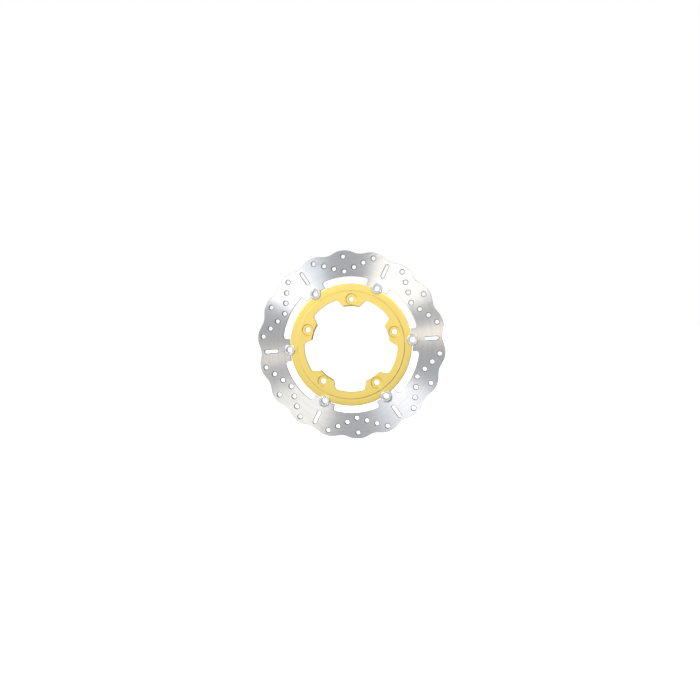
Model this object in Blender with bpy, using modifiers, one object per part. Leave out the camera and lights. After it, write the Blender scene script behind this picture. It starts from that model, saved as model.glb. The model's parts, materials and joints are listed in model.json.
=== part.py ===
"""Floating front brake disc of a motorcycle: a steel brake ring hung on an aluminium carrier.

Metres, +Z up. The disc stands upright with its axle along Y: its outer face looks along -Y and
the face that bolts to the wheel looks along +Y. The origin is on the axle, in the middle of the
disc's depth. Six hollow bobbins sit half in the ring and half in the carrier, and each holds a
wave washer, a flat washer and a retaining ring behind the disc.
"""

import math

import bmesh
import bpy
from mathutils import Matrix

MM = 0.001

# Brake ring
RING_RADIUS = 155.0 * MM        # to the crests of the wave
RING_THICKNESS = 5.0 * MM
TRACK_WIDTH = 42.6 * MM         # from the crests in to the windows
LUG_LENGTH = 10.6 * MM          # from the windows' outer edge in to the bobbins' centres
WAVE_COUNT = 18
WAVE_DEPTH = 5.4 * MM
WAVE_CREST_ANGLE = 15.0         # degrees from +X, to the first crest
WAVE_SHARPNESS = 1.3            # over 1, the troughs are narrower than the crests
LUG_HALF_WIDTH = 18.6 * MM
LUG_ROOT_FILLET = 4.6 * MM
LUG_CORNER_RADIUS = 1.6 * MM

# Drilled holes and radial slots of the brake ring
HOLE_DIAMETER = 7.2 * MM
HOLES_PER_ARM = 3               # beyond the one in the middle of a sector
HOLE_ARM_ANGLE = 19.8           # degrees from the middle of a sector to an arm's last hole
HOLE_ARM_SPREAD = 0.89          # under 1, the holes get closer along an arm
HOLE_ARM_RISE = 1.22            # over 1, an arm starts flat and then climbs
HOLE_INNER_MARGIN = 8.2 * MM    # from the track's inner edge to the nearest hole's centre
HOLE_OUTER_MARGIN = 9.1 * MM    # from the crests to the farthest hole's centre
EDGE_HOLE_MARGIN = 10.0 * MM    # from the crests to the centre of the hole in mid-sector
SLOT_WIDTH = 5.2 * MM
SLOT_INNER_MARGIN = 8.6 * MM
SLOT_OUTER_MARGIN = 11.2 * MM

# Bobbins, and the joint between the ring and the carrier
BOBBIN_COUNT = 6
FIRST_BOBBIN_ANGLE = 5.0
SHANK_RADIUS = 6.5 * MM
BOBBIN_WALL = 1.8 * MM
BORE_COUNTERSINK = 0.6 * MM
FLANGE_WIDTH = 2.4 * MM         # beyond the shank
FLANGE_THICKNESS = 1.6 * MM
NOTCH_CLEARANCE = 0.4 * MM      # round the shank, in the ring and in the carrier
JOINT_GAP = 1.5 * MM            # between the lugs and the carrier's rim
RING_FLOAT = 0.25 * MM          # the ring's travel each way along the axle
REST_GAP = 0.3 * MM             # between pieces that rest on each other

# Washers and retaining rings behind the disc
WASHER_CLEARANCE = 0.4 * MM     # round the shank
WAVE_WASHER_WIDTH = 2.3 * MM
WAVE_WASHER_STRIP = 0.4 * MM
WAVE_WASHER_HEIGHT = 1.1 * MM
WAVE_WASHER_WAVES = 3
FLAT_WASHER_WIDTH = 2.7 * MM
FLAT_WASHER_THICKNESS = 0.8 * MM
RETAINER_THICKNESS = 0.9 * MM
RETAINER_WIDTH = 2.0 * MM
RETAINER_OPENING = 50.0         # degrees
GROOVE_DEPTH = 0.8 * MM
SHANK_END_LENGTH = 0.9 * MM     # behind the groove
SHANK_CHAMFER = 0.4 * MM

# Carrier. Its rim is as thick as the ring, because the bobbins' flanges lie on both
RIM_WIDTH = 12.1 * MM           # from the carrier's edge in to the step
STEP_HEIGHT = 0.8 * MM          # the middle stands proud of the rim by this much
BOLT_SETBACK = 13.2 * MM        # from the step in to the bolts' centres
INNER_EDGE_OFFSET = 2.0 * MM    # from the bolts' circle out to the inner edge between the tabs
TAB_REACH = 11.2 * MM           # from the bolts' centres in to the tips of the tabs
TAB_COUNT = 5
FIRST_TAB_ANGLE = 89.0
TAB_TIP_HALF_WIDTH = 11.8 * MM
TAB_FLANK_SPREAD = 12.0 * MM    # how much wider a tab's side gets on its way to the root
BOLT_HOLE_RADIUS = 4.25 * MM
COUNTERBORE_RADIUS = 8.6 * MM
COUNTERBORE_DEPTH = 1.2 * MM
PILOT_CHAMFER = 1.5 * MM        # on the front edge of the tabs' tips
CUT_MARGIN = 2.0 * MM           # how far a cutter runs past what it cuts

# Places along the axle, seen from the ring's middle plane, towards the front of the disc
FACE = RING_THICKNESS / 2
FLANGE_BACK = FACE + RING_FLOAT + REST_GAP
FLANGE_FRONT = FLANGE_BACK + FLANGE_THICKNESS
WAVE_WASHER_MIDDLE = -(FACE + RING_FLOAT + REST_GAP + WAVE_WASHER_HEIGHT / 2)
FLAT_WASHER_FRONT = WAVE_WASHER_MIDDLE - WAVE_WASHER_HEIGHT / 2 - REST_GAP
FLAT_WASHER_BACK = FLAT_WASHER_FRONT - FLAT_WASHER_THICKNESS
RETAINER_FRONT = FLAT_WASHER_BACK - REST_GAP
RETAINER_BACK = RETAINER_FRONT - RETAINER_THICKNESS
GROOVE_BACK = RETAINER_BACK - REST_GAP
SHANK_BACK = GROOVE_BACK - SHANK_END_LENGTH
# The ring's middle plane, along Y, which puts the origin in the middle of the whole depth
RING_PLANE_Y = (FLANGE_FRONT + SHANK_BACK) / 2

# Radii from the axle, from the outside in
TRACK_INNER_RADIUS = RING_RADIUS - TRACK_WIDTH
BOBBIN_CIRCLE_RADIUS = TRACK_INNER_RADIUS - LUG_LENGTH
LUG_TIP_RADIUS = BOBBIN_CIRCLE_RADIUS
CARRIER_RADIUS = LUG_TIP_RADIUS - JOINT_GAP
STEP_RADIUS = CARRIER_RADIUS - RIM_WIDTH
BOLT_CIRCLE_RADIUS = STEP_RADIUS - BOLT_SETBACK
CARRIER_INNER_RADIUS = BOLT_CIRCLE_RADIUS + INNER_EDGE_OFFSET
PILOT_RADIUS = BOLT_CIRCLE_RADIUS - TAB_REACH

# Radii from a bobbin's own axis
NOTCH_RADIUS = SHANK_RADIUS + NOTCH_CLEARANCE
FLANGE_RADIUS = SHANK_RADIUS + FLANGE_WIDTH
BOBBIN_BORE_RADIUS = SHANK_RADIUS - BOBBIN_WALL
WASHER_BORE_RADIUS = SHANK_RADIUS + WASHER_CLEARANCE

SECTOR = 360.0 / BOBBIN_COUNT
# Turns a shape made in its own XY plane upright, so that its +Z looks out of the disc's front
STAND_UP = Matrix.Rotation(math.radians(90.0), 4, "X")


def start_collections():
    """Empties the scene and makes the collections of the parts and of the cutters."""
    for obj in list(bpy.data.objects):
        bpy.data.objects.remove(obj, do_unlink=True)
    parts = bpy.data.collections.new("floating_brake_disc")
    cutters = bpy.data.collections.new("cutters")
    bpy.context.scene.collection.children.link(parts)
    bpy.context.scene.collection.children.link(cutters)
    return parts, cutters


def make_material(name, colour, metallic, roughness):
    material = bpy.data.materials.new(name)
    material.use_nodes = True
    shader = material.node_tree.nodes["Principled BSDF"]
    shader.inputs["Base Color"].default_value = (*colour, 1.0)
    shader.inputs["Metallic"].default_value = metallic
    shader.inputs["Roughness"].default_value = roughness
    return material


def make_materials():
    return {
        "brake_ring": make_material("ground_stainless", (0.62, 0.61, 0.59), 1.0, 0.32),
        "carrier": make_material("gold_anodised", (0.88, 0.66, 0.20), 1.0, 0.38),
        "bobbin": make_material("plated_steel", (0.70, 0.69, 0.67), 1.0, 0.25),
        "wave_washer": make_material("spring_steel", (0.42, 0.41, 0.40), 1.0, 0.35),
        "flat_washer": make_material("zinc_plated", (0.66, 0.66, 0.67), 1.0, 0.35),
        "retaining_ring": make_material("black_spring_steel", (0.08, 0.08, 0.085), 0.8, 0.45),
    }


# ---------------------------------------------------------------- outlines, in the disc's plane

def arc(radius, start, end, steps, centre=(0.0, 0.0)):
    """Points along an arc from one angle to another, in degrees, both ends included."""
    points = []
    for step in range(steps + 1):
        angle = math.radians(start + (end - start) * step / steps)
        x = centre[0] + radius * math.cos(angle)
        y = centre[1] + radius * math.sin(angle)
        points.append((x, y))
    return points


def turned(points, degrees):
    """The points, turned round the axle."""
    angle = math.radians(degrees)
    cos, sin = math.cos(angle), math.sin(angle)
    return [(x * cos - y * sin, x * sin + y * cos) for x, y in points]


def mirrored(points):
    """The points on the other side of the X axis, in the order that carries an outline on."""
    return [(x, -y) for x, y in reversed(points)]


def circle(radius, steps, centre=(0.0, 0.0)):
    return arc(radius, 0.0, 360.0 * (steps - 1) / steps, steps - 1, centre)


def polar(radius, degrees):
    angle = math.radians(degrees)
    return radius * math.cos(angle), radius * math.sin(angle)


def wave_outline():
    """The ring's outer edge, which swings between the crests and the troughs."""
    steps = 12 * WAVE_COUNT
    points = []
    for step in range(steps):
        angle = 360.0 * step / steps
        swing = 0.5 - 0.5 * math.cos(math.radians(WAVE_COUNT * (angle - WAVE_CREST_ANGLE)))
        points.append(polar(RING_RADIUS - WAVE_DEPTH * swing ** WAVE_SHARPNESS, angle))
    return points


def notch_angles(rim_radius):
    """Where the notch round a bobbin on the X axis meets a rim: seen from the axle and from the bobbin."""
    reach = BOBBIN_CIRCLE_RADIUS
    cosine = (rim_radius ** 2 + reach ** 2 - NOTCH_RADIUS ** 2) / (2 * rim_radius * reach)
    from_axle = math.acos(cosine)
    x, y = rim_radius * cosine - reach, rim_radius * math.sin(from_axle)
    return math.degrees(from_axle), math.degrees(math.atan2(y, x))


def lug_outline():
    """The upper half of a lug that lies on the X axis, from the bobbin's notch to the window."""
    rim_angle, notch_end = notch_angles(LUG_TIP_RADIUS)
    half = arc(NOTCH_RADIUS, 0.0, notch_end, 7, (BOBBIN_CIRCLE_RADIUS, 0.0))
    # the round corner at the tip of the lug
    y = LUG_HALF_WIDTH - LUG_CORNER_RADIUS
    x = math.sqrt((LUG_TIP_RADIUS + LUG_CORNER_RADIUS) ** 2 - y ** 2)
    corner_angle = math.degrees(math.atan2(y, x))
    half += arc(LUG_TIP_RADIUS, rim_angle, corner_angle, 4)[1:-1]
    half += arc(LUG_CORNER_RADIUS, corner_angle + 180.0, 90.0, 4, (x, y))
    # the hollow corner at the root of the lug
    y = LUG_HALF_WIDTH + LUG_ROOT_FILLET
    x = math.sqrt((TRACK_INNER_RADIUS - LUG_ROOT_FILLET) ** 2 - y ** 2)
    root_angle = math.degrees(math.atan2(y, x))
    half += arc(LUG_ROOT_FILLET, -90.0, root_angle, 6, (x, y))
    return half, root_angle


def ring_inner_outline():
    """The ring's inner edge: six lugs, with a window between each two."""
    half, root_angle = lug_outline()
    window = arc(TRACK_INNER_RADIUS, root_angle, SECTOR - root_angle, 10)[1:-1]
    points = []
    for number in range(BOBBIN_COUNT):
        lug = mirrored(half)[:-1] + half + window
        points += turned(lug, FIRST_BOBBIN_ANGLE + SECTOR * number)
    return points


def drilled_holes():
    """The centres of the ring's holes: a bowed V in each sector, with one more hole in its mouth."""
    inner = TRACK_INNER_RADIUS + HOLE_INNER_MARGIN
    outer = RING_RADIUS - HOLE_OUTER_MARGIN
    centres = []
    for number in range(BOBBIN_COUNT):
        middle = FIRST_BOBBIN_ANGLE + SECTOR * (number + 0.5)
        for step in range(-HOLES_PER_ARM, HOLES_PER_ARM + 1):
            along = abs(step) / HOLES_PER_ARM
            angle = math.copysign(HOLE_ARM_ANGLE * along ** HOLE_ARM_SPREAD, step)
            radius = inner + (outer - inner) * along ** HOLE_ARM_RISE
            centres.append(polar(radius, middle + angle))
        centres.append(polar(RING_RADIUS - EDGE_HOLE_MARGIN, middle))
    return centres


def slot_outline():
    """A slot with round ends that lies on the X axis."""
    inner = TRACK_INNER_RADIUS + SLOT_INNER_MARGIN + SLOT_WIDTH / 2
    outer = RING_RADIUS - SLOT_OUTER_MARGIN - SLOT_WIDTH / 2
    far_end = arc(SLOT_WIDTH / 2, -90.0, 90.0, 6, (outer, 0.0))
    near_end = arc(SLOT_WIDTH / 2, 90.0, 270.0, 6, (inner, 0.0))
    return far_end + near_end


def carrier_outer_outline():
    """The carrier's rim, with a notch for each bobbin."""
    rim_angle, notch_end = notch_angles(CARRIER_RADIUS)
    notch = arc(NOTCH_RADIUS, 360.0 - notch_end, notch_end, 10, (BOBBIN_CIRCLE_RADIUS, 0.0))
    rim = arc(CARRIER_RADIUS, rim_angle, SECTOR - rim_angle, 16)[1:-1]
    points = []
    for number in range(BOBBIN_COUNT):
        points += turned(notch + rim, FIRST_BOBBIN_ANGLE + SECTOR * number)
    return points


def carrier_inner_outline():
    """The carrier's inner edge: five tabs whose sides swing out to the arcs between them."""
    tip_angle = math.degrees(TAB_TIP_HALF_WIDTH / PILOT_RADIUS)
    root_angle = tip_angle + math.degrees(TAB_FLANK_SPREAD / CARRIER_INNER_RADIUS)
    flank = []
    steps = 9
    for step in range(1, steps):
        share = step / steps
        swing = 0.5 - 0.5 * math.cos(math.pi * share)
        radius = PILOT_RADIUS + (CARRIER_INNER_RADIUS - PILOT_RADIUS) * swing
        flank.append(polar(radius, tip_angle + (root_angle - tip_angle) * share))
    tip = arc(PILOT_RADIUS, -tip_angle, tip_angle, 6)
    between = arc(CARRIER_INNER_RADIUS, root_angle, 360.0 / TAB_COUNT - root_angle, 8)
    points = []
    for number in range(TAB_COUNT):
        tab = tip + flank + between + turned(mirrored(flank), 360.0 / TAB_COUNT)
        points += turned(tab, FIRST_TAB_ANGLE + 360.0 / TAB_COUNT * number)
    return points


def retaining_ring_outline():
    """An open ring round the groove, with its opening towards the top."""
    inner = SHANK_RADIUS - GROOVE_DEPTH + REST_GAP
    start = 90.0 + RETAINER_OPENING / 2
    end = 450.0 - RETAINER_OPENING / 2
    return arc(inner + RETAINER_WIDTH, start, end, 18) + arc(inner, end, start, 14)


# ---------------------------------------------------------------- shapes

def flat_mesh(name, outlines, thickness):
    """A flat plate from closed outlines: the first is its edge, and the others are holes."""
    curve = bpy.data.curves.new(name, "CURVE")
    curve.dimensions = "2D"
    curve.fill_mode = "BOTH"
    curve.extrude = thickness / 2
    for outline in outlines:
        spline = curve.splines.new("POLY")
        spline.points.add(len(outline) - 1)
        for point, (x, y) in zip(spline.points, outline):
            point.co = (x, y, 0.0, 1.0)
        spline.use_cyclic_u = True
    return mesh_from(bpy.data.objects.new(name, curve), name)


def turned_mesh(name, profile, steps, closed=True):
    """A profile of (radius, height) points, turned round the Z axis."""
    mesh = bpy.data.meshes.new(name)
    edges = [(index, index + 1) for index in range(len(profile) - 1)]
    if closed:
        edges.append((len(profile) - 1, 0))
    mesh.from_pydata([(radius, 0.0, height) for radius, height in profile], edges, [])
    obj = bpy.data.objects.new(name, mesh)
    screw = obj.modifiers.new("turn", "SCREW")
    screw.steps = steps
    screw.render_steps = steps
    screw.use_merge_vertices = True
    screw.merge_threshold = 0.00001
    return mesh_from(obj, name)


def mesh_from(source, name):
    """The evaluated mesh of an object that isn't needed after this, with its seams welded."""
    scene_objects = bpy.context.scene.collection.objects
    scene_objects.link(source)
    evaluated = source.evaluated_get(bpy.context.evaluated_depsgraph_get())
    mesh = bpy.data.meshes.new_from_object(evaluated)
    mesh.name = name
    bpy.data.objects.remove(source, do_unlink=True)
    shape = bmesh.new()
    shape.from_mesh(mesh)
    bmesh.ops.remove_doubles(shape, verts=shape.verts, dist=0.000001)
    shape.to_mesh(mesh)
    shape.free()
    return mesh


def place(name, mesh, collection, material=None, parent=None, height=0.0):
    """An upright object in the ring's middle plane, or at a height in front of it."""
    obj = bpy.data.objects.new(name, mesh)
    collection.objects.link(obj)
    if parent:
        obj.parent = parent
        obj.location.z = height
    else:
        obj.matrix_world = Matrix.Translation((0.0, RING_PLANE_Y - height, 0.0)) @ STAND_UP
    if material and not mesh.materials:
        mesh.materials.append(material)
    mesh.shade_smooth()
    mesh.set_sharp_from_angle(angle=math.radians(35.0))
    return obj


def cut_away(obj, cutter):
    cutter.hide_render = True
    cutter.display_type = "WIRE"
    boolean = obj.modifiers.new(cutter.name, "BOOLEAN")
    boolean.operation = "DIFFERENCE"
    boolean.solver = "EXACT"
    boolean.object = cutter


# ---------------------------------------------------------------- pieces

def build_brake_ring(parts, material):
    outlines = [wave_outline(), ring_inner_outline()]
    outlines += [circle(HOLE_DIAMETER / 2, 12, centre) for centre in drilled_holes()]
    for number in range(BOBBIN_COUNT):
        outlines.append(turned(slot_outline(), FIRST_BOBBIN_ANGLE + SECTOR * number))
    place("brake_ring", flat_mesh("brake_ring", outlines, RING_THICKNESS), parts, material)


def build_carrier(parts, cutters, material):
    """A plate whose rim is turned down to the ring's thickness, with a seat for each bolt head."""
    bolts = []
    for number in range(TAB_COUNT):
        bolts.append(polar(BOLT_CIRCLE_RADIUS, FIRST_TAB_ANGLE + 360.0 / TAB_COUNT * number))
    outlines = [carrier_outer_outline(), carrier_inner_outline()]
    outlines += [circle(BOLT_HOLE_RADIUS, 24, centre) for centre in bolts]
    thickness = RING_THICKNESS + STEP_HEIGHT
    plate = flat_mesh("carrier", outlines, thickness)
    carrier = place("carrier", plate, parts, material, height=STEP_HEIGHT / 2)

    front = FACE + STEP_HEIGHT
    rim_profile = [
        (STEP_RADIUS, front + CUT_MARGIN),
        (CARRIER_RADIUS + CUT_MARGIN, front + CUT_MARGIN),
        (CARRIER_RADIUS + CUT_MARGIN, FACE),
        (STEP_RADIUS, FACE),
    ]
    pilot_profile = [
        (PILOT_RADIUS - CUT_MARGIN, front + CUT_MARGIN),
        (PILOT_RADIUS + PILOT_CHAMFER + CUT_MARGIN, front + CUT_MARGIN),
        (PILOT_RADIUS - CUT_MARGIN, front - PILOT_CHAMFER - CUT_MARGIN),
    ]
    for name, profile in (("rim_cutter", rim_profile), ("pilot_cutter", pilot_profile)):
        cut_away(carrier, place(name, turned_mesh(name, profile, 72), cutters))

    depth = COUNTERBORE_DEPTH + CUT_MARGIN
    seats = bmesh.new()
    for x, y in bolts:
        middle = Matrix.Translation((x, y, front - COUNTERBORE_DEPTH + depth / 2))
        bmesh.ops.create_cone(seats, cap_ends=True, segments=28, radius1=COUNTERBORE_RADIUS,
                              radius2=COUNTERBORE_RADIUS, depth=depth, matrix=middle)
    seat_mesh = bpy.data.meshes.new("bolt_seat_cutter")
    seats.to_mesh(seat_mesh)
    seats.free()
    cut_away(carrier, place("bolt_seat_cutter", seat_mesh, cutters))


def bobbin_mesh():
    """A hollow pin with a flange in front and a groove near its rear end."""
    groove = SHANK_RADIUS - GROOVE_DEPTH
    profile = [
        (BOBBIN_BORE_RADIUS + BORE_COUNTERSINK, FLANGE_FRONT),
        (FLANGE_RADIUS - SHANK_CHAMFER, FLANGE_FRONT),
        (FLANGE_RADIUS, FLANGE_FRONT - SHANK_CHAMFER),
        (FLANGE_RADIUS, FLANGE_BACK),
        (SHANK_RADIUS, FLANGE_BACK),
        (SHANK_RADIUS, FLAT_WASHER_BACK),
        (groove, FLAT_WASHER_BACK),
        (groove, GROOVE_BACK),
        (SHANK_RADIUS, GROOVE_BACK),
        (SHANK_RADIUS, SHANK_BACK + SHANK_CHAMFER),
        (SHANK_RADIUS - SHANK_CHAMFER, SHANK_BACK),
        (BOBBIN_BORE_RADIUS, SHANK_BACK),
        (BOBBIN_BORE_RADIUS, FLANGE_FRONT - BORE_COUNTERSINK),
    ]
    return turned_mesh("bobbin", profile, 16)


def flat_washer_mesh():
    inner = WASHER_BORE_RADIUS
    outer = inner + FLAT_WASHER_WIDTH
    half = FLAT_WASHER_THICKNESS / 2
    profile = [(inner, half), (outer, half), (outer, -half), (inner, -half)]
    return turned_mesh("flat_washer", profile, 20)


def wave_washer_mesh():
    """A thin flat ring, bent into waves."""
    profile = [(WASHER_BORE_RADIUS, 0.0), (WASHER_BORE_RADIUS + WAVE_WASHER_WIDTH, 0.0)]
    mesh = turned_mesh("wave_washer", profile, 24, closed=False)
    swing = (WAVE_WASHER_HEIGHT - WAVE_WASHER_STRIP) / 2
    for vertex in mesh.vertices:
        angle = math.atan2(vertex.co.y, vertex.co.x)
        vertex.co.z = swing * math.cos(WAVE_WASHER_WAVES * angle)
    return mesh


def build_bobbins(parts, materials):
    """Each bobbin with its washers and retaining ring, on an empty that stands on its axis."""
    bobbin = bobbin_mesh()
    wave_washer = wave_washer_mesh()
    flat_washer = flat_washer_mesh()
    retaining_ring = flat_mesh("retaining_ring", [retaining_ring_outline()], RETAINER_THICKNESS)
    flat_washer_middle = (FLAT_WASHER_FRONT + FLAT_WASHER_BACK) / 2
    retainer_middle = (RETAINER_FRONT + RETAINER_BACK) / 2
    stack = [
        ("bobbin", bobbin, 0.0),
        ("wave_washer", wave_washer, WAVE_WASHER_MIDDLE),
        ("flat_washer", flat_washer, flat_washer_middle),
        ("retaining_ring", retaining_ring, retainer_middle),
    ]
    for number in range(BOBBIN_COUNT):
        x, z = polar(BOBBIN_CIRCLE_RADIUS, FIRST_BOBBIN_ANGLE + SECTOR * number)
        axis = bpy.data.objects.new(f"bobbin_axis_{number + 1}", None)
        parts.objects.link(axis)
        axis.matrix_world = Matrix.Translation((x, RING_PLANE_Y, z)) @ STAND_UP
        for name, mesh, height in stack:
            piece = place(f"{name}_{number + 1}", mesh, parts, materials[name], axis, height)
            if name == "wave_washer":
                strip = piece.modifiers.new("strip", "SOLIDIFY")
                strip.thickness = WAVE_WASHER_STRIP
                strip.offset = 0.0


def main():
    parts, cutters = start_collections()
    materials = make_materials()
    build_brake_ring(parts, materials["brake_ring"])
    build_carrier(parts, cutters, materials["carrier"])
    build_bobbins(parts, materials)
    bpy.context.view_layer.update()


main()
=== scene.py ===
"""The pieces, finishes and studio of a floating motorcycle brake disc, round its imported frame.

Metres, +Z up. The axle lies along Y and the disc's front looks along -Y. A piece is drawn lying
down, with its front along its own +Z, and a last turn stands it upright.
"""

import json
import math

import bmesh
import bpy
from bpy.props import (
    FloatProperty, FloatVectorProperty, IntProperty, PointerProperty,
)
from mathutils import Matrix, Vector


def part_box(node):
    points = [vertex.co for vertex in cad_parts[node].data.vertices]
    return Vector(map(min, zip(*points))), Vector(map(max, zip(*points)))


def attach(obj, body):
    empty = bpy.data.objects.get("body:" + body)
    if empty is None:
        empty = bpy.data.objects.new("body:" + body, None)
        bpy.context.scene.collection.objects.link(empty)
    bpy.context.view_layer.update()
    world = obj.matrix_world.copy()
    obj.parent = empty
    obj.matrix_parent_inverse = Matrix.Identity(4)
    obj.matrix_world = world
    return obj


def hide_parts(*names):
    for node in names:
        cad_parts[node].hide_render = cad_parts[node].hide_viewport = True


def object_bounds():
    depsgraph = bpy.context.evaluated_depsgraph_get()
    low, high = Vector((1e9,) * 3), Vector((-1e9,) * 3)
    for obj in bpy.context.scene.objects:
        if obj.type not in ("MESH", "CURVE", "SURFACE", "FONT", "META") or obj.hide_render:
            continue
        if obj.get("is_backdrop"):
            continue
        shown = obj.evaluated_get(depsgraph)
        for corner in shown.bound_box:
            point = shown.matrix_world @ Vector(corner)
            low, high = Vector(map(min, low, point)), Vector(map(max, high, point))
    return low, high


bl_info = {
    "name": "Floating brake disc",
    "version": (1, 0, 0),
    "blender": (4, 5, 0),
    "location": "View3D > Sidebar > Brake Disc",
    "description": "Builds a floating brake disc, its finishes and a small studio",
    "category": "Object",
}

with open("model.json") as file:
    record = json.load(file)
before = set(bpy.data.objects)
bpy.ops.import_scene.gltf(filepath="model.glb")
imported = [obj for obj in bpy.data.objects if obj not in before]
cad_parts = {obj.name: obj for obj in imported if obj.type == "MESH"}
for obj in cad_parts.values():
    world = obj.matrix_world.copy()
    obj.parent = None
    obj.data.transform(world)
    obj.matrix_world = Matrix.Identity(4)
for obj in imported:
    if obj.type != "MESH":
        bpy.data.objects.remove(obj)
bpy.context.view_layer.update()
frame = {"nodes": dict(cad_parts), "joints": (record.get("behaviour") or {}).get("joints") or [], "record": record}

MM = 0.001
AXLE = Vector((0.0, 1.0, 0.0))
STAND_UP = (math.radians(90.0), 0.0, 0.0)
WELD = 0.000002
FLAT_ENOUGH = 0.99          # how squarely a face looks along the axle to count as a ground face
SHARP_ANGLE = math.radians(32.0)    # faces that meet at more than this keep a crease
DRILL_CLEARANCE = 0.6 * MM          # how far the drill and the slot tool pass the ring's faces
TOOL_CLEARANCE = 2.0 * MM           # how far the other cutting tools pass the faces they cut
FINE_EDGE = 0.08 * MM               # radius of the smallest turned edges
BUMP_RELIEF = 0.004 * MM            # height of the finest marks


# ---------------------------------------------------------------- sizes that come from the frame

def depth_of(node):
    """A CAD node's front and back along the disc's front direction."""
    low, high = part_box(node)
    return -low.y, -high.y


def reach_of(node, farthest=True):
    """The largest or smallest distance from the axle to a CAD node's corners."""
    points = frame["nodes"][node].data.vertices
    reaches = [math.hypot(point.co.x, point.co.z) for point in points]
    return max(reaches) if farthest else min(reaches)


def half_width_of(node):
    low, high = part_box(node)
    return (high.x - low.x) / 2


AXES = {joint["child"]: joint["pos_m"] for joint in frame["joints"] if joint["type"] == "hinge"}
BOBBINS = sorted(AXES)
FIRST_AXIS = AXES[BOBBINS[0]]
BOBBIN_CIRCLE = math.hypot(FIRST_AXIS[0], FIRST_AXIS[2])
FIRST_BOBBIN_ANGLE = math.atan2(FIRST_AXIS[2], FIRST_AXIS[0])
RING_FRONT, RING_BACK = depth_of("brake_ring")
CARRIER_FRONT, CARRIER_BACK = depth_of("carrier")
BOBBIN_FRONT, BOBBIN_BACK = depth_of("bobbin_1")
WAVE_FRONT, WAVE_BACK = depth_of("wave_washer_1")
WASHER_FRONT, WASHER_BACK = depth_of("flat_washer_1")
SNAP_FRONT, SNAP_BACK = depth_of("retaining_ring_1")
FINISHES = {row["slot"]: row["base_color"] for row in frame["record"]["materials"]}


# ---------------------------------------------------------------- settings

def length(name, description, default):
    return FloatProperty(name=name, description=description, default=default, min=0.0,
                         precision=5, unit="LENGTH", subtype="DISTANCE")


def angle(name, description, degrees):
    return FloatProperty(name=name, description=description, default=math.radians(degrees),
                         unit="ROTATION", subtype="ANGLE")


def share(name, description, default, top=1.0):
    return FloatProperty(name=name, description=description, default=default, min=0.0, max=top,
                         subtype="FACTOR")


def colour(name, description, default):
    return FloatVectorProperty(name=name, description=description, default=default, size=3,
                               min=0.0, max=1.0, subtype="COLOR")


def count(name, description, default):
    return IntProperty(name=name, description=description, default=default, min=1)


class BrakeRingSettings(bpy.types.PropertyGroup):
    """Sizes of the steel ring that the pads grip."""

    radius: length("Radius", "From the axle to the crests of the wave", reach_of("brake_ring"))
    waves: count("Waves", "Crests round the edge", 18)
    wave_depth: length("Wave Depth", "From the crests to the troughs", 5.4 * MM)
    wave_sharpness: FloatProperty(name="Wave Sharpness", default=1.3, min=0.5, max=3.0,
                                  description="Over 1, the troughs are narrower than the crests")
    crest_angle: angle("First Crest", "Where the first crest stands", 15.0)
    edge_break: length("Edge Break", "Width of the small chamfer on the edges", 0.35 * MM)
    track_width: length("Track Width", "From the crests in to the windows", 42.6 * MM)
    lug_half_width: length("Lug Half Width", "Half the width of a lug", 18.6 * MM)
    lug_fillet: length("Lug Fillet", "Hollow corner at the root of a lug", 4.6 * MM)
    lug_corner: length("Lug Corner", "Round corner at the tip of a lug", 1.6 * MM)
    hole_diameter: length("Hole Diameter", "Bore of the drilled holes", 6.8 * MM)
    hole_chamfer: length("Hole Chamfer", "Width of the chamfer round the holes", 1.25 * MM)
    holes_per_arm: count("Holes per Arm", "Beyond the one in the middle of a sector", 3)
    arm_angle: angle("Arm Angle", "From the middle of a sector to an arm's last hole", 19.8)
    arm_spread: FloatProperty(name="Arm Spread", default=0.89, min=0.3, max=3.0,
                              description="Under 1, the holes get closer along an arm")
    arm_rise: FloatProperty(name="Arm Rise", default=1.22, min=0.3, max=3.0,
                            description="Over 1, an arm starts flat and then climbs")
    inner_margin: length("Inner Margin", "From the windows to the nearest hole", 8.2 * MM)
    outer_margin: length("Outer Margin", "From the crests to the last hole of an arm", 9.1 * MM)
    edge_margin: length("Edge Hole Margin", "From the crests to the hole in mid-sector", 10.0 * MM)
    slot_width: length("Slot Width", "Width of the radial slots", 5.2 * MM)
    slot_chamfer: length("Slot Chamfer", "Width of the chamfer round the slots", 1.0 * MM)
    slot_inner_margin: length("Slot Inner Margin", "From the windows to the slot", 8.6 * MM)
    slot_outer_margin: length("Slot Outer Margin", "From the crests to the slot", 11.2 * MM)


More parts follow.
